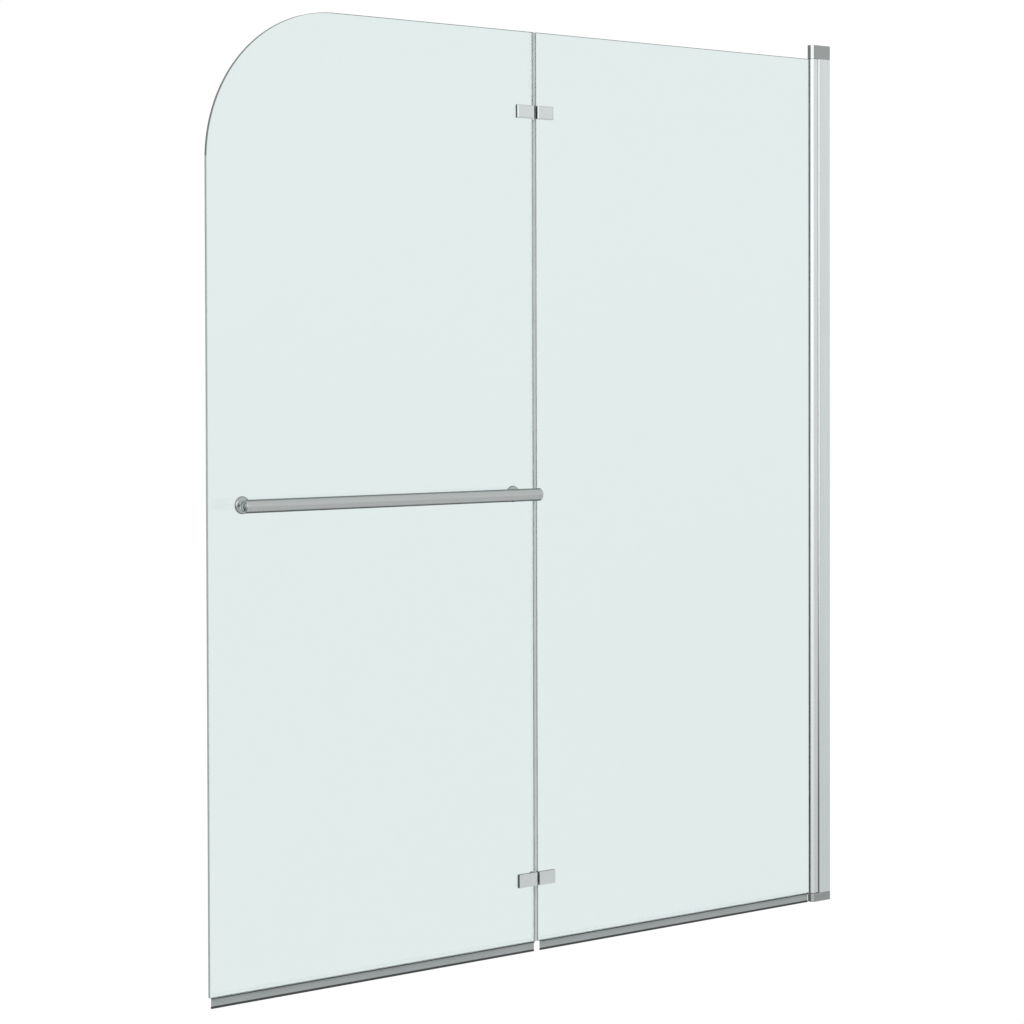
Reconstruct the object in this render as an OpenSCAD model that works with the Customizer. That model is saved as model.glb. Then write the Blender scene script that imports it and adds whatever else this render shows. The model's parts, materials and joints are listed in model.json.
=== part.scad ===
// Two-leaf folding bath screen with a wall profile, a pivot column,
// two glass-to-glass hinges, seals and a towel bar.
// Frame: X = 0 is the wall, the screen runs towards -X; Y = 0 is the middle of
// the glass and -Y is the room side that carries the towel bar; Z = 0 is the
// bath rim that the wall profile stands on.  Millimetres.

/* [Screen] */
// Overall width, from the wall to the free edge of the outer panel
screen_w = 1200; // [1100:1:1300]
// Overall height, from the bath rim to the top of the upper end cap
screen_h = 1400; // [1300:1:1500]
// Thickness of the toughened glass
glass_t = 5; // [4:0.5:5]
// Radius of the outer panel's upper free corner
corner_r = 215; // [120:1:260]
// How far the fold line lies past the middle of the screen, away from the wall
fold_shift = 22; // [0:1:40]
// Gap between the two glass panels
panel_gap = 6; // [6:0.1:7]

/* [Wall profile] */
// Thickness of the wall profile and of the pivot column, across the glass
profile_t = 14; // [14:0.5:18]
// Height of the upper end cap
top_cap_h = 22.4; // [18:0.2:28]
// Height of the lower end cap
bottom_cap_h = 14; // [12:0.5:14]
// Radius of the wall screw holes
wall_hole_r = 2.75; // [2:0.05:3]
// Distance between the two outer wall screw holes
wall_hole_outer = 1240; // [1000:10:1260]
// Distance between the two inner wall screw holes
wall_hole_inner = 420; // [200:10:600]
// Radius of the two pivot pins
pivot_pin_r = 2; // [1.5:0.1:2]

/* [Hinges] */
// Height of the hinge plates
hinge_h = 20; // [18:0.5:24]
// Length of the hinge plate on the outer panel
hinge_l = 34; // [30:0.2:36]
// Length of the hinge plate on the inner panel
hinge_inner_l = 30.4; // [28:0.2:36]
// Thickness of one hinge plate
hinge_t = 4.5; // [4:0.1:5]
// Height of the hinge leaves on the bath side
leaf_h = 16; // [14:0.5:18]
// Length of one hinge leaf on the bath side
leaf_l = 25.6; // [24:0.2:30]
// Chamfer round the outer face of a hinge plate
hinge_bevel = 1.8; // [0.5:0.1:2]
// Height of the middle of the upper hinge
upper_hinge_z = 1257.5; // [1100:0.5:1270]
// Height of the middle of the lower hinge
lower_hinge_z = 110; // [80:0.5:300]
// How far the hinge pin stands behind the middle of the glass
hinge_pin_y = 9; // [9:0.1:10]
// Radius of the hinge pin
hinge_pin_r = 2; // [1.5:0.1:2.2]

/* [Towel bar] */
// Distance between the two posts
post_pitch = 478; // [300:1:480]
// Overall length of the bar with its end caps
bar_l = 523; // [340:1:530]
// Outer radius of the bar's tube
bar_r = 9.3; // [8:0.1:11]
// Wall thickness of the bar's tube
bar_wall = 1.2; // [1:0.1:2]
// Height of the bar above the bath rim
bar_z = 689; // [500:1:900]
// Distance of the bar's axis from the middle of the glass
bar_y = 42; // [36:0.5:60]
// Where the middle of the bar lies, from the wall
bar_mid = 907; // [895:1:920]
// Radius of the rosettes on the glass
rosette_r = 12.25; // [11:0.05:14]

/* [Hidden] */
$fn = 48;

e = 0.01;                       // overrun of a cutter past the face it opens
ph = profile_t / 2;             // half thickness of the profile
gh = glass_t / 2;               // half thickness of the glass

// heights
cap_under = screen_h - top_cap_h;   // underside of the upper end cap
glass_top = cap_under - 0.6;
glass_bot = bottom_cap_h + 1;
col_top = cap_under - 0.4;
col_bot = bottom_cap_h + 1;
mid_z = screen_h / 2;

// pivot column, in plan
nose_x = -40.7;                 // face that the glass enters
nose_c = 3.43;                  // its chamfers
pivot_x = -33.4;                // axis that the column turns about
rear_x = pivot_x + 7.5;         // flat back of the column
rear_half = 3.9;
side_end_x = pivot_x + 5.4;     // where the flat sides end
seat_r = max(sqrt(pow(ph, 2) + pow(5.4, 2)), sqrt(pow(7.5, 2) + pow(rear_half, 2))) + 0.45;   // concave seat
slot_half = gh + 0.8;           // half width of the glazing slot
slot_end_x = -30.2;
glass_edge_x = slot_end_x - 0.7;
bush_h = 12;                    // height of the pivot bush blocks
bush_front_x = -38.0;
notch_x = -38.5;                // notch in the glass round a bush block
notch_h = bush_h + 3.5;
notch_r = 3;                    // its inner corner

// wall profile, in plan
head_x = -25.5;                 // front of the adjusting profile
shoulder_x = -23.1;             // where its head ends
channel_x = -22.9;              // front of the wall channel
side_wall = 1.3;
back_wall = 1.8;
tongue_half = ph - 2;           // half width of the channel's back plate behind the caps
tail_x = -6.2;                  // back of the adjusting profile
cap_screw_x = -15;

// fold line
fold_x = -(screen_w / 2 + fold_shift);
outer_edge_x = fold_x - panel_gap / 2;
inner_edge_x = fold_x + panel_gap / 2;

// hinges
plate_gap = 4.8;                // between the two front plates, and the two leaves, of a hinge
pad_t = 1;                      // rubber pad between plate and glass
face_y = gh + pad_t;            // inner face of a plate
out_y = face_y + hinge_t;       // outer face of a plate
knuckle_r = 4.2;
knuckle_gap = 0.3;
mid_knuckle = 6;                // height of the outer leaf's knuckle
screw_at = 16.6;                // hinge screw, from the fold line
glass_hole_r = 5;
hinge_screw_r = 3;
screw_sink = 2.5;               // depth and widening of its countersink

// towel bar
post_x = [-bar_mid - post_pitch / 2, -bar_mid + post_pitch / 2];
bar_cap_l = 6.5;
bar_cap_r = bar_r + 0.1;
post_r = 6;
washer_t = 0.8;
washer_r = 8.5;
back_disc_r = 7;
back_disc_t = 1.2;
bar_screw_head = 2.4;
bar_hole_r = 5;

aluminium = [0.80, 0.83, 0.83];
satin = [0.62, 0.64, 0.64];
bright = [0.78, 0.80, 0.81];
glass_tint = [0.85, 0.93, 0.92, 0.45];
seal_grey = [0.62, 0.65, 0.65];
dark_rubber = [0.25, 0.27, 0.27];
nylon = [0.90, 0.91, 0.90];
steel = [0.70, 0.71, 0.72];

// ------------------------------------------------------------- helpers

module slab(x0, x1, y0, y1, z0, z1) {
  translate([x0, y0, z0]) cube([x1 - x0, y1 - y0, z1 - z0]);
}

// a cylinder along Y between two values of y
module along_y(x, z, y0, y1, r) {
  translate([x, y0, z]) rotate([-90, 0, 0]) cylinder(h = y1 - y0, r = r);
}

// a cylinder along X between two values of x
module along_x(y, z, x0, x1, r) {
  translate([x0, y, z]) rotate([0, 90, 0]) cylinder(h = x1 - x0, r = r);
}

module upright(x, y, z0, z1, r) {
  translate([x, y, z0]) cylinder(h = z1 - z0, r = r);
}

// a prism standing on the plan outline pts
module prism(pts, z0, z1) {
  translate([0, 0, z0]) linear_extrude(height = z1 - z0) polygon(pts);
}

// a bar along X with the section pts, given as [y, z]
module bar_x(pts, x0, x1) {
  translate([x0, 0, 0]) rotate([90, 0, 90]) linear_extrude(height = x1 - x0) polygon(pts);
}

// a solid of revolution about an axis along Y; pts are [radius, distance from y0
// towards dir], dir = 1 points to +Y and dir = -1 to -Y
module turned_y(x, z, y0, dir, pts) {
  translate([x, y0, z]) rotate([-90 * dir, 0, 0]) rotate_extrude($fn = 72) polygon(pts);
}

// the same about an axis along X
module turned_x(y, z, x0, dir, pts) {
  translate([x0, y, z]) rotate([0, 90 * dir, 0]) rotate_extrude($fn = 72) polygon(pts);
}

// a six-sided key recess along Y, opening at y1
module key_y(x, z, y0, y1, r) {
  translate([x, y0, z]) rotate([-90, 0, 0]) cylinder(h = y1 - y0, r = r, $fn = 6);
}

// points of a quarter round from [a, 0] to [0, b] on an ellipse
function quarter(a, b, n) = [for (i = [0 : n]) [a * cos(90 * i / n), b * sin(90 * i / n)]];

// ------------------------------------------------- wall side, held by the wall

// U-shaped aluminium channel that is screwed to the wall; a narrower tongue of
// its back plate runs on, behind both end caps
module wall_channel() {
  color(aluminium) difference() {
    union() {
      slab(-back_wall, 0, -ph, ph, bottom_cap_h, cap_under);
      slab(-back_wall, 0, -tongue_half, tongue_half, 0, screen_h);
      slab(channel_x, -back_wall + e, -ph, -ph + side_wall, bottom_cap_h, cap_under);
      slab(channel_x, -back_wall + e, ph - side_wall, ph, bottom_cap_h, cap_under);
    }
    for (z = [mid_z - wall_hole_outer / 2, mid_z - wall_hole_inner / 2,
              mid_z + wall_hole_inner / 2, mid_z + wall_hole_outer / 2])
      along_x(0, z, -back_wall - 1, 1, wall_hole_r);
    // slots for the width adjustment, in the wall on the bath side
    for (z = adjust_z) {
      slab(-17, -8, ph - side_wall - 1, ph + 1, z - 2.1, z + 2.1);
      along_y(-17, z, ph - side_wall - 1, ph + 1, 2.1);
      along_y(-8, z, ph - side_wall - 1, ph + 1, 2.1);
    }
  }
}

adjust_z = [200, mid_z, screen_h - 200];

// aluminium profile that slides in the channel to take up an uneven wall and
// carries the concave seat that the column turns in
module adjusting_profile() {
  t0 = ph - side_wall - 0.1;     // outer half width of the tail
  color(aluminium) difference() {
    union() {
      slab(head_x, shoulder_x, -ph, ph, bottom_cap_h, cap_under);
      slab(shoulder_x - e, tail_x, -t0, t0, bottom_cap_h, cap_under);
    }
    // concave seat
    upright(pivot_x, 0, bottom_cap_h - 1, cap_under + 1, seat_r);
    // two hollows either side of the screw port
    slab(-22.6, -18.6, -t0 + 1.2, t0 - 1.2, bottom_cap_h - 1, cap_under + 1);
    slab(-11.4, tail_x - 1.3, -t0 + 1.2, t0 - 1.2, bottom_cap_h - 1, cap_under + 1);
    // screw port for the end cap screws
    upright(cap_screw_x, 0, bottom_cap_h - 1, cap_under + 1, 1.5);
    // pilot holes of the adjusting screws
    for (z = adjust_z) along_y(-12.5 + 2.6, z, 0, t0 + 1, 1.7);
  }
}

// pan-head screws that lock the adjusting profile in the channel
module adjusting_screws() {
  x = -12.5 + 2.6;
  color(steel) for (z = adjust_z) difference() {
    union() {
      along_y(x, z, 2.5, ph + e, 1.7);
      turned_y(x, z, ph, 1, concat([[0, 0]], [for (p = quarter(3.7, 2.1, 8)) [p[0], p[1]]]));
    }
    key_y(x, z, ph + 0.9, ph + 3, 1.3);
  }
}

// plan outline that the end caps share: the column's nose, then straight to
// the wall, with a recess for the channel's tongue
function cap_plan() = let (g = tongue_half + 0.1) [
  [nose_x, -ph + nose_c], [nose_x + nose_c, -ph], [0, -ph], [0, -g], [-back_wall, -g],
  [-back_wall, g], [0, g], [0, ph], [nose_x + nose_c, ph], [nose_x, ph - nose_c]
];

// upper end cap, over the column, the adjusting profile and the channel
module top_end_cap() {
  color(satin) difference() {
    union() {
      prism(cap_plan(), cap_under, screen_h);
      // tongue that locates the cap in the adjusting profile
      slab(-22.3, -18.9, -3.9, 3.9, cap_under - 8, cap_under + e);
    }
    // seat of the pivot pin
    upright(pivot_x, 0, cap_under - 1, screen_h - 6, pivot_pin_r);
    // hole and countersink of the cap screw
    upright(cap_screw_x, 0, cap_under - 1, screen_h + 1, 1.75);
    translate([cap_screw_x, 0, screen_h - 2]) cylinder(h = 2 + e, r1 = 1.75, r2 = 3.75);
    // small chamfers along the two long upper edges
    for (s = [-1, 1]) translate([-60, s * ph, screen_h]) rotate([45, 0, 0])
      translate([0, -0.5, -0.5]) cube([70, 1, 1]);
  }
}

// lower end cap, which stands on the bath rim
module bottom_end_cap() {
  color(satin) difference() {
    union() {
      prism(cap_plan(), 0, bottom_cap_h);
      slab(-22.3, -18.9, -3.9, 3.9, bottom_cap_h - e, bottom_cap_h + 8);
    }
    upright(pivot_x, 0, 4, bottom_cap_h + 1, pivot_pin_r);
    upright(cap_screw_x, 0, -1, bottom_cap_h + 1, 1.75);
    translate([cap_screw_x, 0, -e]) cylinder(h = 2 + e, r1 = 3.75, r2 = 1.75);
  }
}

// countersunk screws, one through each end cap into the screw port
module end_cap_screws() {
  color(steel) {
    difference() {
      union() {
        upright(cap_screw_x, 0, cap_under - 14, screen_h - 1.9, 1.5);
        translate([cap_screw_x, 0, screen_h - 2.1]) cylinder(h = 2, r1 = 1.5, r2 = 3.5);
      }
      translate([cap_screw_x, 0, screen_h - 1.5]) cylinder(h = 2, r = 1.2, $fn = 6);
    }
    difference() {
      union() {
        upright(cap_screw_x, 0, 1.9, bottom_cap_h + 14, 1.5);
        translate([cap_screw_x, 0, 0.1]) cylinder(h = 2, r1 = 3.5, r2 = 1.5);
      }
      translate([cap_screw_x, 0, -0.5]) cylinder(h = 2, r = 1.2, $fn = 6);
    }
  }
}

// steel pins that the column turns on
module top_pivot_pin() {
  color(steel) upright(pivot_x, 0, col_top - bush_h + 1, screen_h - 6, pivot_pin_r);
}
module bottom_pivot_pin() {
  color(steel) upright(pivot_x, 0, 4, col_bot + bush_h - 1, pivot_pin_r);
}

// low-friction washer on the lower end cap, under the column
module thrust_washer() {
  color(nylon) difference() {
    upright(pivot_x, 0, bottom_cap_h, bottom_cap_h + 0.6, 5.2);
    upright(pivot_x, 0, bottom_cap_h - 1, bottom_cap_h + 2, pivot_pin_r + 0.1);
  }
}

// ------------------------------------------------------ inner panel, turning

// aluminium column: chamfered nose with the glazing slot, chamfered back
module pivot_column() {
  color(aluminium) difference() {
    prism([
      [nose_x, -ph + nose_c], [nose_x + nose_c, -ph], [side_end_x, -ph],
      [rear_x, -rear_half], [rear_x, rear_half],
      [side_end_x, ph], [nose_x + nose_c, ph], [nose_x, ph - nose_c]
    ], col_bot, col_top);
    slab(nose_x - 1, slot_end_x, -slot_half, slot_half, col_bot - 1, col_top + 1);
  }
}

// nylon blocks in the ends of the column's slot, bored for the pivot pins
module bush_block(z0) {
  color(nylon) difference() {
    slab(bush_front_x, slot_end_x, -slot_half, slot_half, z0, z0 + bush_h);
    upright(pivot_x, 0, z0 - 1, z0 + bush_h + 1, pivot_pin_r + 0.05);
  }
}
module top_pivot_bush() { bush_block(col_top - bush_h); }
module bottom_pivot_bush() { bush_block(col_bot); }

// soft U-shaped gasket that holds the glass in the slot, with a lip at the nose
module glazing_gasket() {
  z0 = col_bot + bush_h + 0.3;
  z1 = col_top - bush_h - 0.3;
  lip_x = nose_x - 1.2;
  color(dark_rubber) union() {
    for (s = [-1, 1]) {
      // the side of the U
      slab(lip_x, slot_end_x, s > 0 ? gh : -slot_half, s > 0 ? slot_half : -gh, z0, z1);
      // the lip runs on past the bush blocks
      slab(lip_x, bush_front_x - 0.2, s > 0 ? gh : -slot_half, s > 0 ? slot_half : -gh, glass_bot, glass_top);
    }
    slab(glass_edge_x, slot_end_x, -slot_half, slot_half, z0, z1);
  }
}

// bores of one glass panel for the hinge screws
module hinge_holes(dir) {
  for (z = [upper_hinge_z, lower_hinge_z])
    along_y(fold_x + dir * screw_at, z, -gh - 1, gh + 1, glass_hole_r);
}

// inner glass panel: its wall edge is held in the column, with a rounded notch
// at each end for the bush blocks
module inner_glass() {
  color(glass_tint) difference() {
    slab(inner_edge_x, glass_edge_x, -gh, gh, glass_bot, glass_top);
    slab(notch_x, 0, -gh - 1, gh + 1, glass_top - notch_h + notch_r, glass_top + 1);
    slab(notch_x + notch_r, 0, -gh - 1, gh + 1, glass_top - notch_h, glass_top);
    along_y(notch_x + notch_r, glass_top - notch_h + notch_r, -gh - 1, gh + 1, notch_r);
    slab(notch_x, 0, -gh - 1, gh + 1, glass_bot - 1, glass_bot + notch_h - notch_r);
    slab(notch_x + notch_r, 0, -gh - 1, gh + 1, glass_bot, glass_bot + notch_h);
    along_y(notch_x + notch_r, glass_bot + notch_h - notch_r, -gh - 1, gh + 1, notch_r);
    hinge_holes(1);
  }
}

// section of a bottom seal: two clear legs on the glass, a floor under it and
// a wiping lip that ends in a bead
module bottom_seal(x0, x1) {
  leg = 0.8;
  union() {
    bar_x([
      [-gh - leg, glass_bot + 6], [-gh - leg, glass_bot - 1.2], [-0.9, glass_bot - 1.2],
      [-0.9, 1.5], [0.9, 1.5], [0.9, glass_bot - 1.2],
      [gh + leg, glass_bot - 1.2], [gh + leg, glass_bot + 6], [gh, glass_bot + 6],
      [gh, glass_bot], [-gh, glass_bot], [-gh, glass_bot + 6]
    ], x0, x1);
    along_x(0, 1.5, x0, x1, 1.5);
  }
}
module inner_bottom_seal() { color(seal_grey) bottom_seal(inner_edge_x + 5.5, -46); }

// --------------------------------------------------------------- hinges

// front plate of one leaf: a block with all four outer edges chamfered
// dir = 1 runs towards the wall, -1 away from it
module hinge_plate(dir, zc) {
  b = hinge_bevel;
  x0 = dir > 0 ? fold_x + plate_gap / 2 : fold_x - plate_gap / 2 - hinge_l;
  x1 = dir > 0 ? x0 + hinge_inner_l : x0 + hinge_l;
  difference() {
    intersection() {
      prism([[x0, -face_y], [x0, -out_y + b], [x0 + b, -out_y], [x1 - b, -out_y],
             [x1, -out_y + b], [x1, -face_y]], zc - hinge_h / 2, zc + hinge_h / 2);
      bar_x([[-face_y, zc - hinge_h / 2], [-out_y + b, zc - hinge_h / 2],
             [-out_y, zc - hinge_h / 2 + b], [-out_y, zc + hinge_h / 2 - b],
             [-out_y + b, zc + hinge_h / 2], [-face_y, zc + hinge_h / 2]], x0 - 1, x1 + 1);
    }
    // blind hole for the screw
    along_y(fold_x + dir * screw_at, zc, -face_y - 2.8, -face_y + 1, hinge_screw_r);
  }
}

// back leaf with its part of the knuckle; mid = true for the middle knuckle
module hinge_leaf(dir, zc, mid) {
  b = 1;
  x_in = fold_x + dir * plate_gap / 2;
  x0 = dir > 0 ? x_in : x_in - leaf_l;
  x1 = x0 + leaf_l;
  hm = mid_knuckle / 2;
  hk = leaf_h / 2;
  // heights of this leaf's knuckles and of the other leaf's
  mine = mid ? [[-hm, hm]] : [[-hk, -hm - knuckle_gap], [hm + knuckle_gap, hk]];
  other = mid ? [[-hk - 1, -hm], [hm, hk + 1]] : [[-hm - knuckle_gap, hm + knuckle_gap]];
  difference() {
    union() {
      difference() {
        intersection() {
          prism([[x0, face_y], [x1, face_y], [x1, out_y - b], [x1 - b, out_y],
                 [x0 + b, out_y], [x0, out_y - b]], zc - hk, zc + hk);
          bar_x([[face_y, zc - hk], [out_y - b, zc - hk], [out_y, zc - hk + b],
                 [out_y, zc + hk - b], [out_y - b, zc + hk], [face_y, zc + hk]], x0 - 1, x1 + 1);
        }
        for (o = other) upright(fold_x, hinge_pin_y, zc + o[0], zc + o[1], knuckle_r + 0.4);
      }
      for (m = mine) {
        upright(fold_x, hinge_pin_y, zc + m[0], zc + m[1], knuckle_r);
        slab(dir > 0 ? fold_x : x_in - 3, dir > 0 ? x_in + 3 : fold_x,
             hinge_pin_y - knuckle_r, out_y - b, zc + m[0], zc + m[1]);
      }
    }
    // pin bore: the inner leaf grips the pin, the outer leaf runs on it
    upright(fold_x, hinge_pin_y, zc - hk - 1, zc + hk + 1, mid ? hinge_pin_r + 0.05 : hinge_pin_r);
    // countersunk screw hole
    along_y(fold_x + dir * screw_at, zc, face_y - 1, out_y + 1, hinge_screw_r);
    translate([fold_x + dir * screw_at, out_y - screw_sink, zc]) rotate([-90, 0, 0])
      cylinder(h = screw_sink + e, r1 = hinge_screw_r, r2 = hinge_screw_r + screw_sink);
  }
}

module upper_hinge_inner_plate() { color(bright) hinge_plate(1, upper_hinge_z); }
module lower_hinge_inner_plate() { color(bright) hinge_plate(1, lower_hinge_z); }
module upper_hinge_outer_plate() { color(bright) hinge_plate(-1, upper_hinge_z); }
module lower_hinge_outer_plate() { color(bright) hinge_plate(-1, lower_hinge_z); }
module upper_hinge_inner_leaf() { color(bright) hinge_leaf(1, upper_hinge_z, false); }
module lower_hinge_inner_leaf() { color(bright) hinge_leaf(1, lower_hinge_z, false); }
module upper_hinge_outer_leaf() { color(bright) hinge_leaf(-1, upper_hinge_z, true); }
module lower_hinge_outer_leaf() { color(bright) hinge_leaf(-1, lower_hinge_z, true); }

// hinge pin, with a small head on top and a riveted end below
module hinge_pin(zc) {
  color(steel) union() {
    upright(fold_x, hinge_pin_y, zc - leaf_h / 2 - 0.4, zc + leaf_h / 2 + 0.6, hinge_pin_r);
    upright(fold_x, hinge_pin_y, zc + leaf_h / 2, zc + leaf_h / 2 + 0.6, hinge_pin_r + 0.8);
    upright(fold_x, hinge_pin_y, zc - leaf_h / 2 - 0.4, zc - leaf_h / 2, hinge_pin_r + 0.5);
  }
}
module upper_hinge_pin() { hinge_pin(upper_hinge_z); }
module lower_hinge_pin() { hinge_pin(lower_hinge_z); }

// rubber pads between the metal and the glass: the front ones under the hinge
// plates, the back ones under the leaves
module hinge_gaskets(dir) {
  color(dark_rubber) for (z = [upper_hinge_z, lower_hinge_z], s = [-1, 1]) {
    x_in = fold_x + dir * (s > 0 ? plate_gap / 2 + 0.8 : plate_gap / 2 + 0.3);
    x_out = fold_x + dir * (s > 0 ? plate_gap / 2 + leaf_l - 0.6
                                  : plate_gap / 2 + (dir > 0 ? hinge_inner_l : hinge_l) - 0.6);
    h = (s > 0 ? leaf_h : hinge_h) / 2 - 0.6;
    difference() {
      slab(min(x_in, x_out), max(x_in, x_out),
           s > 0 ? gh : -gh - pad_t, s > 0 ? gh + pad_t : -gh, z - h, z + h);
      along_y(fold_x + dir * screw_at, z, -face_y - 1, face_y + 1, glass_hole_r);
    }
  }
}
module inner_hinge_gaskets() { hinge_gaskets(1); }
module outer_hinge_gaskets() { hinge_gaskets(-1); }

// countersunk socket screws, from the back leaf into the front plate
module hinge_screws(dir) {
  x = fold_x + dir * screw_at;
  color(steel) for (z = [upper_hinge_z, lower_hinge_z]) difference() {
    union() {
      along_y(x, z, -face_y - 2.7, out_y - screw_sink + 0.2, hinge_screw_r);
      translate([x, out_y - screw_sink + 0.1, z]) rotate([-90, 0, 0])
        cylinder(h = screw_sink - 0.2, r1 = hinge_screw_r, r2 = hinge_screw_r + screw_sink - 0.3);
    }
    key_y(x, z, out_y - 2.1, out_y + 1, 2.3);
  }
}
module inner_hinge_screws() { hinge_screws(1); }
module outer_hinge_screws() { hinge_screws(-1); }

// nylon sleeves that keep the screws off the glass
module hinge_sleeves(dir) {
  color(nylon) for (z = [upper_hinge_z, lower_hinge_z]) difference() {
    along_y(fold_x + dir * screw_at, z, -face_y, face_y, glass_hole_r - 0.05);
    along_y(fold_x + dir * screw_at, z, -face_y - 1, face_y + 1, hinge_screw_r);
  }
}
module inner_hinge_sleeves() { hinge_sleeves(1); }
module outer_hinge_sleeves() { hinge_sleeves(-1); }

// -------------------------------------------------- outer panel, folding

// outer glass panel with its large rounded upper corner
module outer_glass() {
  x0 = -screen_w;
  color(glass_tint) difference() {
    union() {
      slab(x0, outer_edge_x, -gh, gh, glass_bot, glass_top - corner_r);
      slab(x0 + corner_r, outer_edge_x, -gh, gh, glass_top - corner_r - e, glass_top);
      intersection() {
        translate([x0 + corner_r, -gh, glass_top - corner_r]) rotate([-90, 0, 0])
          cylinder(h = glass_t, r = corner_r, $fn = 180);
        slab(x0 - 1, x0 + corner_r + e, -gh, gh, glass_top - corner_r - e, glass_top + 1);
      }
    }
    hinge_holes(-1);
    for (x = post_x) along_y(x, bar_z, -gh - 1, gh + 1, bar_hole_r);
  }
}
module outer_bottom_seal() { color(seal_grey) bottom_seal(-screen_w + 3.5, outer_edge_x - 0.5); }

// seal on the folding edge of the outer glass: two legs, a web and a soft
// hollow bulb, in three lengths that leave room for the hinges
module fold_seal() {
  leg = 0.8;
  bulb_r = panel_gap / 2 - 0.4;
  runs = [[glass_bot + 0.3, lower_hinge_z - hinge_h / 2 - 0.8],
          [lower_hinge_z + hinge_h / 2 + 0.8, upper_hinge_z - hinge_h / 2 - 0.8],
          [upper_hinge_z + hinge_h / 2 + 0.8, glass_top - 0.2]];
  color(seal_grey) for (r = runs) {
    // past the bottom seal's legs only the web and the bulb go on down
    z0 = r[0] < glass_bot + 7 ? glass_bot + 6.3 : r[0];
    difference() {
      union() {
        slab(outer_edge_x - 5, outer_edge_x + 0.9, -gh - leg, gh + leg, z0, r[1]);
        slab(outer_edge_x, outer_edge_x + 0.9, -gh, gh, r[0], r[1]);
        upright(fold_x, 0, r[0], r[1], bulb_r);
      }
      slab(outer_edge_x - 6, outer_edge_x, -gh, gh, r[0] - 1, r[1] + 1);
      upright(fold_x, 0, r[0] - 1, r[1] + 1, bulb_r - 0.9);
    }
  }
}

// ---------------------------------------------------------- towel bar

bar_x0 = -bar_mid - bar_l / 2;
bar_x1 = -bar_mid + bar_l / 2;

module towel_bar_tube() {
  color(bright) difference() {
    along_x(-bar_y, bar_z, bar_x0 + bar_cap_l, bar_x1 - bar_cap_l, bar_r);
    along_x(-bar_y, bar_z, bar_x0, bar_x1, bar_r - bar_wall);
    for (x = post_x) along_y(x, bar_z, -bar_y + 2, -bar_y + bar_r + 5, 3.55);
  }
}

// turned end cap: a plug in the tube, a collar and a ringed, slightly domed end
function cap_profile() = concat(
  [[0, -9], [bar_r - bar_wall - 0.6, -9], [bar_r - bar_wall, -8.4], [bar_r - bar_wall, 0],
   [bar_cap_r, 0], [bar_cap_r, bar_cap_l - 1.7]],
  [for (p = quarter(0.7, 0.7, 6)) [bar_cap_r - 0.7 + p[0], bar_cap_l - 1.7 + p[1]]],
  [[7.6, bar_cap_l - 1.0], [7.2, bar_cap_l - 1.9], [6.4, bar_cap_l - 1.9], [6.0, bar_cap_l - 0.8],
   [4.5, bar_cap_l - 0.35], [2.5, bar_cap_l - 0.08], [0, bar_cap_l]]);
module towel_bar_left_cap() {
  color(bright) turned_x(-bar_y, bar_z, bar_x0 + bar_cap_l, -1, cap_profile());
}
module towel_bar_right_cap() {
  color(bright) turned_x(-bar_y, bar_z, bar_x1 - bar_cap_l, 1, cap_profile());
}

// post from the glass to the bar: saddle end with a spigot in the tube, and a
// threaded bore for the fixing screw
module bar_post(x) {
  y_foot = -gh - washer_t;
  color(bright) difference() {
    union() {
      difference() {
        along_y(x, bar_z, -bar_y + bar_r - 4, y_foot, post_r);
        along_x(-bar_y, bar_z, x - 20, x + 20, bar_r + 0.05);
      }
      along_y(x, bar_z, -bar_y + bar_r - 4.5, -bar_y + bar_r + 3, 3.5);
    }
    along_y(x, bar_z, y_foot - 15, y_foot + 1, 3);
  }
}
module left_bar_post() { bar_post(post_x[0]); }
module right_bar_post() { bar_post(post_x[1]); }

// domed rosette over the foot of a post
module rosette(x) {
  color(bright) turned_y(x, bar_z, -gh - washer_t, -1, concat(
    [[post_r + 0.05, 0], [rosette_r, 0], [rosette_r, 0.8]],
    [for (p = quarter(rosette_r - post_r - 1.2, 5.4, 8)) [post_r + 1.2 + p[0], 0.8 + p[1]]],
    [[post_r + 0.05, 6.2]]));
}
module left_rosette() { rosette(post_x[0]); }
module right_rosette() { rosette(post_x[1]); }

// steel disc behind the glass that the fixing screw pulls on
module back_disc(x) {
  y0 = gh + washer_t;
  color(bright) turned_y(x, bar_z, y0, 1, [[3.1, 0], [back_disc_r, 0],
    [back_disc_r, back_disc_t - 0.4], [back_disc_r - 0.4, back_disc_t], [3.1, back_disc_t]]);
}
module left_back_disc() { back_disc(post_x[0]); }
module right_back_disc() { back_disc(post_x[1]); }

// clear washers between the metal and the glass, front and back
module bar_washers() {
  color(nylon) for (x = post_x, s = [-1, 1]) difference() {
    along_y(x, bar_z, s > 0 ? gh : -gh - washer_t, s > 0 ? gh + washer_t : -gh, washer_r);
    along_y(x, bar_z, -gh - 2, gh + 2, 3.1);
  }
}

// nylon sleeves in the glass round the fixing screws
module bar_sleeves() {
  color(nylon) for (x = post_x) difference() {
    along_y(x, bar_z, -gh, gh, bar_hole_r - 0.05);
    along_y(x, bar_z, -gh - 1, gh + 1, 3);
  }
}

// button-head screws, from the back disc through the glass into the post
module bar_fixing_screws() {
  y1 = gh + washer_t + back_disc_t;
  color(steel) for (x = post_x) difference() {
    union() {
      along_y(x, bar_z, -gh - washer_t - 12, y1 + e, 3);
      turned_y(x, bar_z, y1, 1, concat([[0, 0], [5.2, 0], [5.2, 0.4]],
        [for (p = quarter(5.2, bar_screw_head - 0.4, 10)) [p[0], 0.4 + p[1]]]));
    }
    key_y(x, bar_z, y1 + 0.8, y1 + bar_screw_head + 1, 2.3);
  }
}

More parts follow.
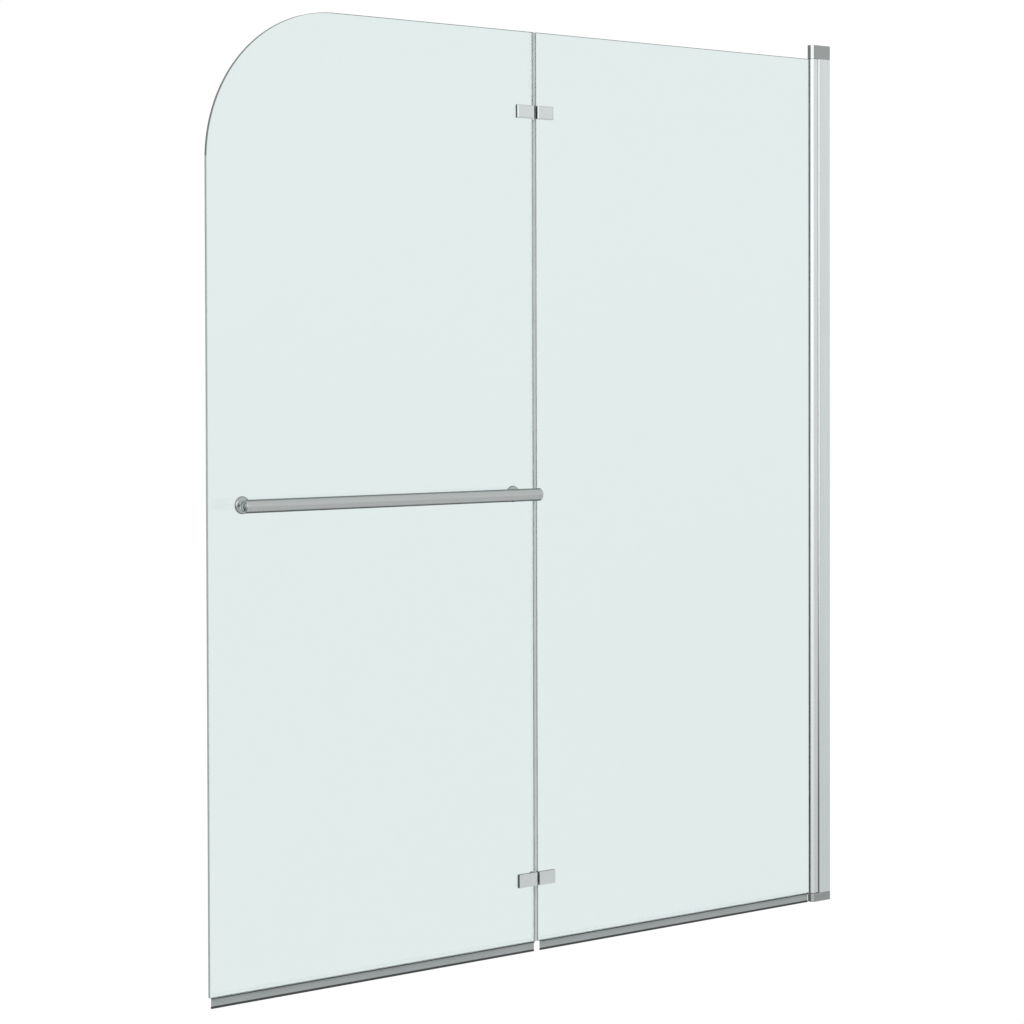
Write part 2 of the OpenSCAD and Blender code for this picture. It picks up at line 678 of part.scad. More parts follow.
wall_channel();
adjusting_profile();
adjusting_screws();
top_end_cap();
bottom_end_cap();
end_cap_screws();
top_pivot_pin();
bottom_pivot_pin();
thrust_washer();
pivot_column();
top_pivot_bush();
bottom_pivot_bush();
glazing_gasket();
inner_glass();
inner_bottom_seal();
upper_hinge_inner_plate();
upper_hinge_inner_leaf();
lower_hinge_inner_plate();
lower_hinge_inner_leaf();
upper_hinge_pin();
lower_hinge_pin();
inner_hinge_gaskets();
inner_hinge_screws();
inner_hinge_sleeves();
outer_glass();
outer_bottom_seal();
fold_seal();
upper_hinge_outer_plate();
upper_hinge_outer_leaf();
lower_hinge_outer_plate();
lower_hinge_outer_leaf();
outer_hinge_gaskets();
outer_hinge_screws();
outer_hinge_sleeves();
towel_bar_tube();
towel_bar_left_cap();
towel_bar_right_cap();
left_bar_post();
right_bar_post();
left_rosette();
right_rosette();
left_back_disc();
right_back_disc();
bar_washers();
bar_sleeves();
bar_fixing_screws();
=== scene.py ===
"""Looks of the folding bath screen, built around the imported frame.
Lengths below are in millimetres in the frame's own axes and are scaled to metres
when a mesh is made: X = 0 wall, -X free end, -Y room side, Z = 0 bath rim."""
import bpy
import bmesh
import json
import math
from mathutils import Matrix, Vector


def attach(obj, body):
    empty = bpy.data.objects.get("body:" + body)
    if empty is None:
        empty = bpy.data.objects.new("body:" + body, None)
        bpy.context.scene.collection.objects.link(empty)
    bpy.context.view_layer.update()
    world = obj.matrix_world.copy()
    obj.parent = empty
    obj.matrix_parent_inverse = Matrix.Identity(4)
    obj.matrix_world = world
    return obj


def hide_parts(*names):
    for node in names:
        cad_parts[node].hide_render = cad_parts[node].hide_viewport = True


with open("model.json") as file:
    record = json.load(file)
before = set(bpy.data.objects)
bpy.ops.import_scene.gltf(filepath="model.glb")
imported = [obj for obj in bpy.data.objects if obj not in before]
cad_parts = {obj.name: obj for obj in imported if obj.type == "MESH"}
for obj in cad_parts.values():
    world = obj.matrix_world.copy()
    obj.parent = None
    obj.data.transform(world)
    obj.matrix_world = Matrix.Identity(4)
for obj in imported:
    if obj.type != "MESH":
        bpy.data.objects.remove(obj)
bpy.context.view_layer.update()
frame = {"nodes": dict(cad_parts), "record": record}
NODE = frame["nodes"]
BODY_OF = {n: b for b, ns in frame["record"]["behaviour"]["bodies"].items() for n in ns}
for entry in frame["record"].get("materials", []):
    for n in entry.get("nodes", []):
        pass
scene = bpy.context.scene
pi = math.pi

# ----------------------------------------------------------------- dimensions
FOLD_X = -622.0
HINGE_Z = (1257.5, 110.0)
POST_X = (-1146.0, -668.0)
BAR_Y, BAR_Z, BAR_R = -42.0, 689.0, 9.3
BAR_X0, BAR_X1 = -1168.5, -645.5
GLASS_TOP, GLASS_BOT, GH = 1377.0, 15.0, 2.5
CAP_UNDER, BOTTOM_CAP = 1377.6, 14.0
COL_BOT, COL_TOP = 15.0, 1377.2


# ------------------------------------------------------------------ node tools
class Nodes:
    """Small helper that adds shader nodes and links them."""

    def __init__(self, tree):
        self.t = tree
        tree.nodes.clear()

    def add(self, kind, **values):
        n = self.t.nodes.new(kind)
        for k, v in values.items():
            setattr(n, k, v)
        return n

    def put(self, socket, value):
        if isinstance(value, bpy.types.NodeSocket):
            self.t.links.new(value, socket)
        else:
            socket.default_value = value

    def math(self, op, a, b=0.0, c=0.0, clamp=False):
        n = self.add("ShaderNodeMath", operation=op, use_clamp=clamp)
        for s, v in zip(n.inputs, (a, b, c)):
            self.put(s, v)
        return n.outputs[0]

    def dot(self, a, v):
        n = self.add("ShaderNodeVectorMath", operation="DOT_PRODUCT")
        self.put(n.inputs[0], a)
        n.inputs[1].default_value = v
        return n.outputs["Value"]

    def range(self, v, a, b, c, d, smooth=False):
        n = self.add("ShaderNodeMapRange")
        n.interpolation_type = "SMOOTHSTEP" if smooth else "LINEAR"
        n.clamp = True
        self.put(n.inputs["Value"], v)
        for name, x in (("From Min", a), ("From Max", b), ("To Min", c), ("To Max", d)):
            self.put(n.inputs[name], x)
        return n.outputs["Result"]

    def coords(self, scale=(1, 1, 1), kind="Object"):
        t = self.add("ShaderNodeTexCoord")
        m = self.add("ShaderNodeMapping")
        m.inputs["Scale"].default_value = scale
        self.t.links.new(t.outputs[kind], m.inputs["Vector"])
        return m.outputs["Vector"]

    def noise(self, scale, freq=(1, 1, 1), detail=3.0, rough=0.5, distort=0.0):
        n = self.add("ShaderNodeTexNoise")
        self.put(n.inputs["Vector"], self.coords(freq))
        n.inputs["Scale"].default_value = scale
        n.inputs["Detail"].default_value = detail
        n.inputs["Roughness"].default_value = rough
        n.inputs["Distortion"].default_value = distort
        return n.outputs["Fac"]

    def mix(self, fac, a, b):
        n = self.add("ShaderNodeMix", data_type="RGBA")
        self.put(n.inputs["Factor"], fac)
        for s, v in ((n.inputs["A"], a), (n.inputs["B"], b)):
            pass
        ins = [s for s in n.inputs if s.type == "RGBA"]
        self.put(ins[0], a)
        self.put(ins[1], b)
        return [o for o in n.outputs if o.type == "RGBA"][0]

    def bump(self, height, strength, distance=0.001):
        n = self.add("ShaderNodeBump")
        n.inputs["Strength"].default_value = strength
        n.inputs["Distance"].default_value = distance
        self.put(n.inputs["Height"], height)
        return n.outputs["Normal"]

    def bsdf(self, **values):
        p = self.add("ShaderNodeBsdfPrincipled")
        for k, v in values.items():
            self.put(p.inputs[k.replace("_", " ")], v)
        out = self.add("ShaderNodeOutputMaterial")
        self.t.links.new(p.outputs[0], out.inputs["Surface"])
        return p


def new_material(name):
    m = bpy.data.materials.new(name)
    m.use_nodes = True
    return m, Nodes(m.node_tree)


def rgb(*v):
    return (v[0], v[1], v[2], 1.0)


def scaled(colour, k):
    return (colour[0] * k, colour[1] * k, colour[2] * k, 1.0)


def footed(n, c, colour, foot):
    """The tone c turned into a darker one towards the foot; foot is (low Z, high Z, factor)."""
    if foot is None:
        return c
    t = n.add("ShaderNodeTexCoord")
    s = n.add("ShaderNodeSeparateXYZ")
    n.put(s.inputs[0], t.outputs["Object"])
    return n.mix(n.range(s.outputs["Z"], foot[0], foot[1], 1.0, 0.0, smooth=True), c, scaled(colour, foot[2]))


def metal(name, colour, rough, grain=(1, 1, 1), grain_scale=900.0, tone=0.04, streak=0.06,
          smudge=0.08, bump=0.05, foot=None):
    """Metal with drawn or cast grain, soft smudges and fine scratches."""
    m, n = new_material(name)
    fine = n.noise(grain_scale, grain, detail=4.0, rough=0.6)
    wide = n.noise(grain_scale * 0.12, grain, detail=2.0)
    blot = n.noise(9.0, (1, 1, 1), detail=3.0, rough=0.55, distort=0.6)
    c = n.mix(n.range(wide, 0.35, 0.65, 0.0, 1.0), scaled(colour, 1 - tone), scaled(colour, 1 + tone * 0.6))
    c = n.mix(n.range(fine, 0.3, 0.7, 0.0, 0.35), c, scaled(colour, 1 - streak))
    c = n.mix(n.range(blot, 0.55, 0.85, 0.0, 0.5), c, scaled(colour, 0.93))
    c = footed(n, c, colour, foot)
    r = n.math("ADD", n.range(fine, 0.3, 0.7, rough * 0.85, rough * 1.15),
               n.range(blot, 0.45, 0.8, 0.0, smudge))
    n.bsdf(Base_Color=c, Metallic=1.0, Roughness=r, Normal=n.bump(fine, bump, 0.0002))
    return m


def plastic(name, colour, rough, tone=0.06, bump=0.1, scale=700.0, spec=0.5, transmission=0.0, ior=1.45,
            foot=None):
    m, n = new_material(name)
    fine = n.noise(scale, (1, 1, 1), detail=3.0)
    blot = n.noise(14.0, (1, 1, 1), detail=3.0, distort=0.4)
    c = n.mix(n.range(blot, 0.35, 0.7, 0.0, 1.0), scaled(colour, 1 - tone), scaled(colour, 1 + tone * 0.5))
    c = n.mix(n.range(fine, 0.35, 0.75, 0.0, 0.3), c, scaled(colour, 1 - tone * 1.5))
    c = footed(n, c, colour, foot)
    r = n.range(fine, 0.3, 0.7, rough * 0.85, min(1.0, rough * 1.15))
    p = n.bsdf(Base_Color=c, Roughness=r, Normal=n.bump(fine, bump, 0.0002))
    p.inputs["Specular IOR Level"].default_value = spec
    p.inputs["Transmission Weight"].default_value = transmission
    p.inputs["IOR"].default_value = ior
    return m


def clear(name, colour, rough, ior=1.5, haze=0.03, smudge=0.0, bump=0.0):
    """Clear or ground glass and clear vinyl."""
    m, n = new_material(name)
    blot = n.noise(3.5, (1, 1, 1), detail=4.0, rough=0.6, distort=0.8)
    fine = n.noise(260.0, (1, 1, 1), detail=2.0)
    c = n.mix(n.range(blot, 0.3, 0.75, 0.0, 1.0), colour, scaled(colour, 1 - haze))
    r = n.math("ADD", n.range(blot, 0.5, 0.8, rough, rough + smudge), n.range(fine, 0.3, 0.7, 0.0, rough * 0.3))
    p = n.bsdf(Base_Color=c, Roughness=r)
    p.inputs["Transmission Weight"].default_value = 1.0
    p.inputs["IOR"].default_value = ior
    if bump:
        n.put(p.inputs["Normal"], n.bump(fine, bump, 0.0002))
    return m


VERTICAL = (1.0, 1.0, 0.01)      # grain drawn along Z
ALONG_X = (0.01, 1.0, 1.0)       # grain drawn along X

mat_channel = metal("aluminium_anodised", (0.835, 0.885, 0.89), 0.26, VERTICAL, 1400.0, tone=0.03, streak=0.05)
mat_column = metal("aluminium_column", (0.835, 0.885, 0.89), 0.20, VERTICAL, 1400.0, tone=0.03, streak=0.06)
mat_cap = metal("cast_end_cap", (0.425, 0.447, 0.443), 0.30, (1, 1, 1), 1500.0, tone=0.03, streak=0.05, bump=0.12)
# brighter, glossier metal on the cap's bevelled nose: a painted highlight; darker towards the bottom, painted shade on
# the bottom cap
mat_nose_painted_highlight_and_shade = metal("cap_nose_painted_highlight_and_shade", (0.79, 0.82, 0.815), 0.22, (1, 1, 1), 1500.0, tone=0.03, streak=0.05, bump=0.08,
                     foot=(0.2, 1.2, 0.66))
# painted light and painted shade: near-white metal that turns dark towards the bottom, standing in for the groove lit
# at the top and shaded at the foot
mat_groove_painted_light_and_shade = metal("seat_painted_light_and_shade", (0.96, 0.98, 0.98), 0.22, VERTICAL, 1400.0, tone=0.02, streak=0.04,
                 foot=(0.12, 0.72, 0.34))
mat_polished = metal("polished_metal", (0.80, 0.85, 0.85), 0.12, (1, 1, 1), 1100.0, tone=0.02, streak=0.03, bump=0.02)
mat_rosette = metal("polished_rosette", (0.52, 0.555, 0.55), 0.11, (1, 1, 1), 1100.0, tone=0.02, streak=0.03, bump=0.02)
mat_bar = metal("polished_tube", (0.60, 0.635, 0.63), 0.20, ALONG_X, 1500.0, tone=0.03, streak=0.05, bump=0.03)
mat_bar_end = metal("turned_bar_end", (0.60, 0.635, 0.63), 0.10, (1, 1, 1), 1100.0, tone=0.02, streak=0.03, bump=0.02)
# near-black metal: painted shade in the gap between the hinge plates and on the leaf faces seen through the glass
mat_gap_painted_shade = metal("dark_metal_painted_shade", (0.10, 0.105, 0.105), 0.45, (1, 1, 1), 900.0, tone=0.06, streak=0.08, bump=0.1)
mat_steel = metal("screw_steel", (0.62, 0.63, 0.64), 0.25, (1, 1, 1), 900.0)
mat_glass = clear("clear_glass", rgb(0.758, 0.838, 0.831), 0.0, ior=1.5, haze=0.004)
mat_edge = plastic("arrised_glass_edge", (0.53, 0.59, 0.58), 0.35, bump=0.15, transmission=0.35, ior=1.5)
# the top edge in a darker tone, painted shade; the fold edges in a lighter, more see-through tone, polished and painted
# light
mat_top_edge_painted_shade = plastic("top_glass_edge_painted_shade", (0.21, 0.25, 0.24), 0.35, bump=0.15, transmission=0.35, ior=1.5)
mat_fold_edge_painted_light = plastic("polished_fold_edge_painted_light", (0.90, 0.94, 0.93), 0.25, bump=0.10, transmission=0.6, ior=1.5)
mat_clear = clear("clear_vinyl", rgb(0.985, 0.99, 0.99), 0.02, ior=1.1, haze=0.02)
mat_seal = plastic("seal_fin", (0.36, 0.39, 0.39), 0.35, bump=0.1)
mat_bead = plastic("seal_bead", (0.045, 0.05, 0.05), 0.4, bump=0.1)
# near-black floor of the seal: painted shade under the glass
mat_under_glass_painted_shade = plastic("seal_underside_painted_shade", (0.05, 0.055, 0.055), 0.5)
# lighter vinyl tone on the web: painted light that lifts the shade in the seam
mat_web_painted_light = plastic("seal_web_painted_light", (0.78, 0.83, 0.82), 0.30, bump=0.05)
mat_bulb = plastic("fold_seal_vinyl", (0.58, 0.63, 0.625), 0.30, bump=0.05)
mat_gasket = plastic("grey_gasket", (0.62, 0.65, 0.645), 0.45, foot=(0.1, 0.8, 0.58))
mat_rubber = plastic("black_rubber", (0.03, 0.032, 0.032), 0.6, bump=0.2)
mat_nylon = plastic("nylon", (0.72, 0.73, 0.71), 0.4)


# ------------------------------------------------------------------ mesh tools
def finish_mesh(name, bm, mats, nodes, body=None, angle=32.0, weighted=True, scale=0.001):
    """Turns the bmesh into a piece that stands for the CAD nodes and rides on their body."""
    bmesh.ops.recalc_face_normals(bm, faces=bm.faces)
    if scale != 1:
        bmesh.ops.scale(bm, vec=(scale, scale, scale), verts=bm.verts)
    me = bpy.data.meshes.new(name)
    bm.to_mesh(me)
    bm.free()
    for m in mats:
        me.materials.append(m)
    me.shade_smooth()
    me.set_sharp_from_angle(angle=math.radians(angle))
    ob = bpy.data.objects.new(name, me)
    scene.collection.objects.link(ob)
    if weighted:
        w = ob.modifiers.new("weighted", "WEIGHTED_NORMAL")
        w.keep_sharp = True
        w.weight = 90
    first = nodes[0]
    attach(ob, body or BODY_OF[first])
    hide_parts(*nodes)
    return ob


def rounded(pts, rad, n=4, closed=True):
    """The polyline with its corners rounded; rad is one radius or one per corner."""
    out = []
    m = len(pts)
    for i, p in enumerate(pts):
        b = Vector(p)
        r = rad[i] if isinstance(rad, (list, tuple)) else rad
        if r <= 0 or (not closed and i in (0, m - 1)):
            out.append(b)
            continue
        u = Vector(pts[i - 1]) - b
        v = Vector(pts[(i + 1) % m]) - b
        lu, lv = u.length, v.length
        u, v = u / lu, v / lv
        ang = u.angle(v)
        if ang > pi - 0.12:
            out.append(b)
            continue
        t = min(r / math.tan(ang / 2), 0.48 * lu, 0.48 * lv)
        r = t * math.tan(ang / 2)
        c = b + (u + v).normalized() * (r / math.sin(ang / 2))
        a0, a1 = b + u * t - c, b + v * t - c
        th = a0.angle(a1)
        for k in range(n + 1):
            f = k / n
            out.append(c + (a0 * math.sin((1 - f) * th) + a1 * math.sin(f * th)) / math.sin(th))
    return out


def circle(cx, cy, r, n=48):
    return [Vector((cx + r * math.cos(2 * pi * i / n), cy + r * math.sin(2 * pi * i / n))) for i in range(n)]


def area2(pts):
    return sum(a.x * b.y - b.x * a.y for a, b in zip(pts, pts[1:] + pts[:1]))


def inset(pts, d):
    """The closed 2-D loop moved by d towards its left-hand side."""
    out = []
    m = len(pts)
    for i in range(m):
        a, b, c = pts[i - 1], pts[i], pts[(i + 1) % m]
        u, v = (b - a).normalized(), (c - b).normalized()
        nu, nv = Vector((-u.y, u.x)), Vector((-v.y, v.x))
        s = nu + nv
        k = s.dot(nu)
        out.append(b + s * (d / k) if abs(k) > 1e-6 else b + nu * d)
    return out


def solid(bm, contours, w0, w1, to3, r=0.3, seg=3, side_mat=0, face_mat=0, extra=()):
    """A prism on 2-D contours (the outline, then holes) between w0 and w1, with
    rounded (or, with seg=1, chamfered) end edges.  to3 maps (u, v, w) to a point."""
    loops = [[Vector(p) for p in c] for c in contours]
    if area2(loops[0]) < 0:
        loops[0].reverse()
    for k in range(1, len(loops)):
        if area2(loops[k]) > 0:
            loops[k].reverse()
    levels = [(r * (1 - math.sin(pi / 2 * k / seg)), w0 + r * (1 - math.cos(pi / 2 * k / seg)))
              for k in range(seg + 1)] if r > 0 else [(0.0, w0)]
    levels += [(0.0, w) for w in extra]
    levels += [(i, w1 - (w - w0)) for i, w in reversed(levels[:seg + 1 if r > 0 else 1])]
    ends = [[], []]
    for loop in loops:
        rows = []
        for i, w in levels:
            pts = inset(loop, i) if i > 0 else loop
            rows.append([bm.verts.new(to3(p.x, p.y, w)) for p in pts])
        m = len(loop)
        for a, b in zip(rows, rows[1:]):
            for k in range(m):
                f = bm.faces.new((a[k], a[(k + 1) % m], b[(k + 1) % m], b[k]))
                f.material_index = side_mat
        ends[0].append(rows[0])
        ends[1].append(rows[-1])
    for end in ends:
        if len(end) == 1:
            f = bm.faces.new(end[0])
            f.material_index = face_mat
        else:
            edges = []
            for row in end:
                for k in range(len(row)):
                    edges.append(bm.edges.get((row[k], row[(k + 1) % len(row)])))
            res = bmesh.ops.triangle_fill(bm, use_beauty=True, use_dissolve=False, edges=edges)
            for g in res["geom"]:
                if isinstance(g, bmesh.types.BMFace):
                    g.material_index = face_mat
    return bm


def plan(x, y, z):      # 2-D (x, y), extruded along Z
    return (x, y, z)


def front(x, z, y):     # 2-D (x, z), extruded along Y
    return (x, y, z)


def section(y, z, x):   # 2-D (y, z), extruded along X
    return (x, y, z)


def lathe(bm, origin, axis, prof, seg=64, closed=False, mat=0):
    """A turned solid: prof holds (radius, distance along the axis)."""
    o, ax = Vector(origin), Vector(axis).normalized()
    ref = Vector((0, 0, 1)) if abs(ax.z) < 0.9 else Vector((1, 0, 0))
    e1 = ax.cross(ref).normalized()
    e2 = ax.cross(e1)
    rows = []
    for r, d in prof:
        if r < 1e-6:
            rows.append([bm.verts.new(o + ax * d)])
        else:
            rows.append([bm.verts.new(o + ax * d + (e1 * math.cos(t) + e2 * math.sin(t)) * r)
                         for t in (2 * pi * k / seg for k in range(seg))])
    pairs = list(zip(rows, rows[1:]))
    if closed:
        pairs.append((rows[-1], rows[0]))
    for a, b in pairs:
        for k in range(seg):
            j = (k + 1) % seg
            if len(a) == 1 and len(b) == 1:
                continue
            if len(a) == 1:
                f = bm.faces.new((a[0], b[k], b[j]))
            elif len(b) == 1:
                f = bm.faces.new((a[k], a[j], b[0]))
            else:
                f = bm.faces.new((a[k], a[j], b[j], b[k]))
            f.material_index = mat
    return bm


def from_cad(node, bevel=0.2, seg=2, angle=35.0, chamfer=None):
    """The node's exact shape, welded, with its sharp edges slightly rounded.  chamfer is a width
    and a test of (x, y) for the upright edges that are chamfered first."""
    bm = bmesh.new()
    bm.from_mesh(NODE[node].data)
    bmesh.ops.scale(bm, vec=(1000, 1000, 1000), verts=bm.verts)
    bmesh.ops.remove_doubles(bm, verts=bm.verts, dist=0.002)
    bmesh.ops.dissolve_degenerate(bm, dist=0.002, edges=bm.edges)
    bmesh.ops.dissolve_limit(bm, angle_limit=math.radians(0.6), verts=bm.verts, edges=bm.edges,
                             use_dissolve_boundaries=False)
    done = set()
    if chamfer:
        bm.normal_update()
        edges = [e for e in bm.edges if len(e.link_faces) == 2
                 and e.calc_face_angle(0.0) > math.radians(60)
                 and abs((e.verts[0].co - e.verts[1].co).normalized().z) > 0.9
                 and all(chamfer[1](v.co.x, v.co.y) for v in e.verts)]
        res = bmesh.ops.bevel(bm, geom=edges, offset=chamfer[0], offset_type="OFFSET", segments=1,
                              profile=0.5, affect="EDGES", clamp_overlap=True)
        done = {e for f in res["faces"] for e in f.edges}
    if bevel > 0:
        edges = [e for e in bm.edges if len(e.link_faces) == 2 and e not in done
                 and e.calc_face_angle(0.0) > math.radians(angle)]
        bmesh.ops.bevel(bm, geom=edges, offset=bevel, offset_type="OFFSET", segments=seg,
                        profile=0.5, affect="EDGES", clamp_overlap=True)
    return bm


# ---------------------------------------------------------------------- glass
def glass_panel(name, node, outline, radii, holes, edge, arc=10):
    bm = bmesh.new()
    loop = rounded(outline, radii, n=arc)
    solid(bm, [loop] + holes, -GH, GH, front, r=0.6, seg=1, side_mat=1, face_mat=0)
    for f in bm.faces:      # the two edges that meet at the fold are polished and painted lighter, painted light; the top is painted darker, painted shade
        if f.material_index == 1:
            c = f.calc_center_median()
            if -627 < c.x < -618 and c.z < GLASS_TOP - 1:
                f.material_index = 2
            elif c.z > 1165:
                f.material_index = 3
    return finish_mesh(name, bm, [mat_glass, edge, mat_fold_edge_painted_light, mat_top_edge_painted_shade], [node])


glass_panel("inner_glass_pane", "inner_glass",
            [(-619, GLASS_BOT), (-38.5, GLASS_BOT), (-38.5, 30.5), (-30.9, 30.5), (-30.9, 1361.5),
             (-38.5, 1361.5), (-38.5, GLASS_TOP), (-619, GLASS_TOP)],
            [1.2, 1.2, 3, 1.2, 1.2, 3, 1.2, 1.2],
            [circle(-605.4, z, 5) for z in HINGE_Z], mat_edge)
glass_panel("outer_glass_pane", "outer_glass",
            [(-1200, GLASS_BOT), (-625, GLASS_BOT), (-625, GLASS_TOP), (-1200, GLASS_TOP)],
            [1.5, 1.2, 1.2, 215],
            [circle(-638.6, z, 5) for z in HINGE_Z] + [circle(x, BAR_Z, 5) for x in POST_X], mat_edge, arc=72)

# --------------------------------------------------------------- wall profile
finish_mesh("wall_channel_profile", from_cad("wall_channel", 0.35, 2), [mat_channel], ["wall_channel"])
bm = from_cad("adjusting_profile", 0.3, 2, chamfer=(1.0, lambda x, y: x < -24.5 and abs(y) > 6.8))
for f in bm.faces:      # the concave seat, in the groove's painted light and painted shade
    c = f.calc_center_median()
    if c.x < -19.0 and abs(c.y) < 6.7 and f.normal.x < -0.2 and abs(f.normal.z) < 0.5 or \
            c.x < -24.4 and -0.9 < f.normal.x < -0.5 and abs(f.normal.y) > 0.5:
        f.material_index = 1
finish_mesh("adjusting_slide_profile", bm, [mat_channel, mat_groove_painted_light_and_shade], ["adjusting_profile"])

bm = bmesh.new()
solid(bm, [rounded([(-40.7, -3.57), (-37.27, -7), (-28.0, -7), (-25.9, -3.9), (-25.9, 3.9), (-28.0, 7),
                    (-37.27, 7), (-40.7, 3.57), (-40.7, 3.3), (-30.2, 3.3), (-30.2, -3.3), (-40.7, -3.3)],
                   [0.12, 0.8, 0.9, 0.6, 0.6, 0.9, 0.8, 0.12, 0.12, 0.4, 0.4, 0.12], n=4)],
      COL_BOT, COL_TOP, plan, r=0.1, seg=1, extra=[COL_BOT + 200, 700, COL_TOP - 200])
for f in bm.faces:      # the back, which turns in the seat, in the groove's painted light and painted shade
    if f.calc_center_median().x > -27.9:
        f.material_index = 1
finish_mesh("pivot_column_profile", bm, [mat_column, mat_groove_painted_light_and_shade], ["pivot_column"])

for cap in ("top_end_cap", "bottom_end_cap"):
    bm = from_cad(cap, 0.6, 3)
    for f in bm.faces:      # the bevelled nose is polished and painted brighter as a painted highlight, in line with the column's; on the bottom cap it is darkened as painted shade
        if f.normal.x < -0.5 and abs(f.normal.y) > 0.5 and abs(f.calc_center_median().y) > 3.4:
            f.material_index = 1
    finish_mesh(cap + "_cast", bm, [mat_cap, mat_nose_painted_highlight_and_shade], [cap])

# gasket: two lips with a rounded front, kept just off the glass
bm = bmesh.new()
for s in (-1, 1):
    loop = [(-41.9, s * 2.56), (-30.3, s * 2.56), (-30.3, s * 3.27), (-41.9, s * 3.27)]
    solid(bm, [rounded(loop, [0.25, 0.1, 0.1, 0.3], n=3)], COL_BOT + 12.3, COL_TOP - 12.3, plan, r=0.08, seg=1)
    for z0, z1 in ((GLASS_BOT, COL_BOT + 12.2), (COL_TOP - 12.2, GLASS_TOP)):
        loop = [(-41.9, s * 2.56), (-38.3, s * 2.56), (-38.3, s * 3.27), (-41.9, s * 3.27)]
        solid(bm, [rounded(loop, [0.25, 0.1, 0.1, 0.3], n=3)], z0, z1, plan, r=0.08, seg=1)
finish_mesh("glazing_gasket_lips", bm, [mat_gasket], ["glazing_gasket"])

# ---------------------------------------------------------------- bottom seals
def bottom_seal(name, node, x0, x1):
    """Two clear legs on the glass, a floor in near-black painted shade, a grey fin and its bead."""
    bm = bmesh.new()
    for s in (-1, 1):
        leg = [(s * 2.54, 14.98), (s * 3.3, 14.98), (s * 3.3, 20.7), (s * 2.54, 21.0)]
        solid(bm, [rounded(leg, [0.05, 0.05, 0.3, 0.15], n=3)], x0, x1, section, r=0.1, seg=1,
              side_mat=2, face_mat=2)
    floor = [(-3.3, 13.8), (3.3, 13.8), (3.3, 14.95), (-3.3, 14.95)]
    solid(bm, [rounded(floor, [0.35, 0.35, 0.15, 0.15], n=3)], x0, x1, section, r=0.1, seg=1,
          side_mat=1, face_mat=1)
    # fin with three fine ribs on each side, and a round bead along its foot
    right = [(0.9, 13.78), (0.9, 11.2), (0.7, 11.0), (0.9, 10.8), (0.85, 8.0), (0.65, 7.8), (0.85, 7.6),
             (0.8, 4.4), (0.75, 3.4)]
    fin = right + [(-x, z) for x, z in reversed(right)]
    solid(bm, [[Vector(p) for p in fin]], x0, x1, section, r=0.1, seg=1, side_mat=0, face_mat=0)
    bead = [(1.5 * math.cos(t), 1.5 + 1.5 * math.sin(t)) for t in
            [math.radians(a) for a in range(66, -247, -13)]]
    solid(bm, [[Vector(p) for p in bead + [(-0.6, 3.3), (0.6, 3.3)]]], x0, x1, section, r=0.1, seg=1,
          side_mat=3, face_mat=3)
    return finish_mesh(name, bm, [mat_seal, mat_under_glass_painted_shade, mat_clear, mat_bead], [node])


bottom_seal("inner_bottom_wiper", "inner_bottom_seal", -613.5, -46)
bottom_seal("outer_bottom_wiper", "outer_bottom_seal", -1196.5, -625.5)

# ------------------------------------------------------------------- fold seal
bm = bmesh.new()
for z0, z1 in ((15.3, 99.2), (120.8, 1246.7), (1268.3, 1376.8)):
    leg0 = 21.3 if z0 < 20 else z0
    for s in (-1, 1):
        leg = [(-630, s * 2.55), (-624.9, s * 2.55), (-624.9, s * 3.3), (-630, s * 3.05)]
        solid(bm, [rounded(leg, [0.1, 0.02, 0.05, 0.2], n=3)], leg0, z1, plan, r=0.1, seg=1,
              side_mat=1, face_mat=1)
    # the web in its lighter tone, painted light
    web = [(-624.85, -2.45), (-624.1, -2.45), (-624.1, 2.45), (-624.85, 2.45)]
    solid(bm, [rounded(web, 0.15, n=2)], z0, z1, plan, r=0.1, seg=1, side_mat=2, face_mat=2)
    solid(bm, [circle(-622, 0, 2.6, 40), circle(-622, 0, 1.7, 32)], z0, z1, plan, r=0.15, seg=2)
finish_mesh("fold_seal_bulb", bm, [mat_bulb, mat_clear, mat_web_painted_light], ["fold_seal"])


# ---------------------------------------------------------------------- hinges
def hinge_plate(name, node, x0, x1, zc, b, deep):
    """Front plate with four bevelled edges, each arris slightly rounded."""
    h, y0, y1 = 10.0, -3.5, -8.0
    bm = bmesh.new()
    rows = []
    for y, i in ((y0, 0.0), (y1 + deep, 0.0), (y1, b)):
        rows.append([bm.verts.new((x, y, z)) for x, z in
                     ((x0 + i, zc - h + i), (x1 - i, zc - h + i), (x1 - i, zc + h - i), (x0 + i, zc + h - i))])
    for a, c in zip(rows, rows[1:]):
        for k in range(4):
            bm.faces.new((a[k], a[(k + 1) % 4], c[(k + 1) % 4], c[k]))
    bm.faces.new(rows[0])
    bm.faces.new(rows[-1])
    bmesh.ops.recalc_face_normals(bm, faces=bm.faces)
    bmesh.ops.bevel(bm, geom=list(bm.edges), offset=min(0.22, 0.4 * deep), offset_type="OFFSET", segments=3, profile=0.5,
                    affect="EDGES", clamp_overlap=True)
    for f in bm.faces:      # the bevel along the gap gets near-black metal, painted shade of the gap
        if f.normal.x > 0.3 and abs(f.normal.z) < 0.5:
            f.material_index = 1
    return finish_mesh(name, bm, [mat_polished, mat_gap_painted_shade if node == "upper_hinge_outer_plate" else mat_polished],
                       [node], angle=60)


